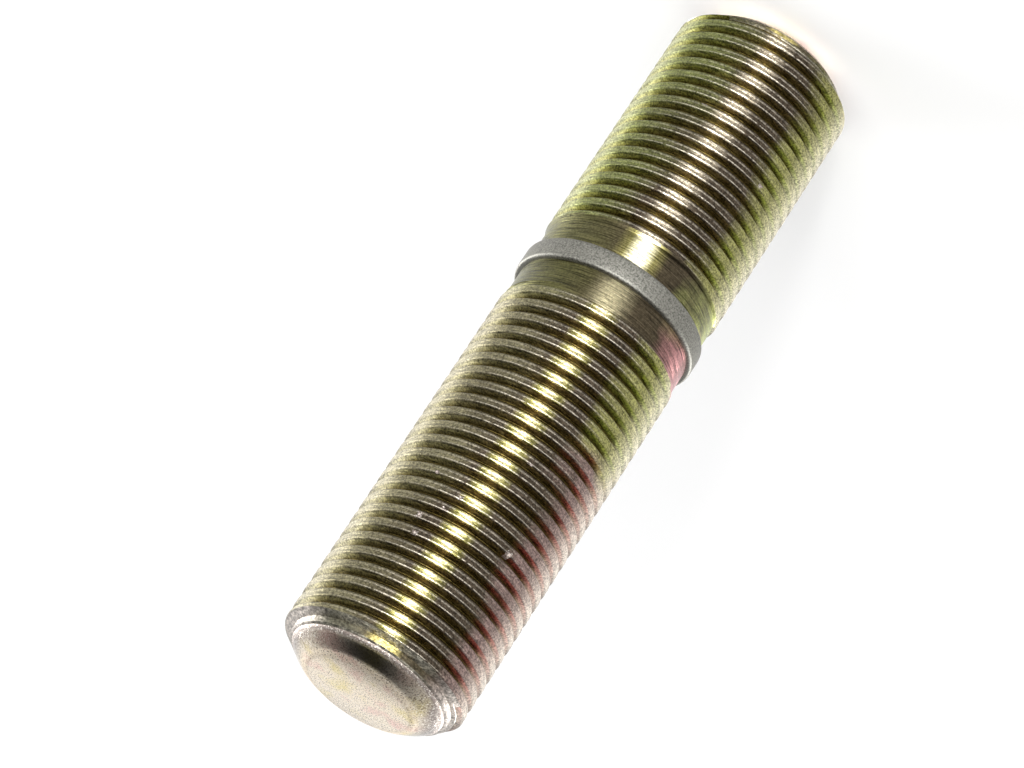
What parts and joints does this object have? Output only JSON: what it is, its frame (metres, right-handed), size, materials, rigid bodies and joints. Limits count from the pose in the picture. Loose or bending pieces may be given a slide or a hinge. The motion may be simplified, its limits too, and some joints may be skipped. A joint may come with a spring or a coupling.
{
  "type": "wheel stud",
  "caption": "Headless steel stud threaded on both ends, with a narrow stop collar between two plain necks and domed, chamfered ends.",
  "frame": {"origin": "centre of the flat at the hub end, which the stud stands on", "axes": "+Z along the stud's axis from the hub end to the nut end; X and Y are alike, as the piece is round"},
  "size_m": [0.0144, 0.0144, 0.0595],
  "materials": {
    "passivated_steel": "electroplated zinc with iridescent yellow chromate passivation over rolled steel"
  },
  "bodies": {
    "root": {"wheel_stud": "passivated_steel"}
  },
  "joints": []
}
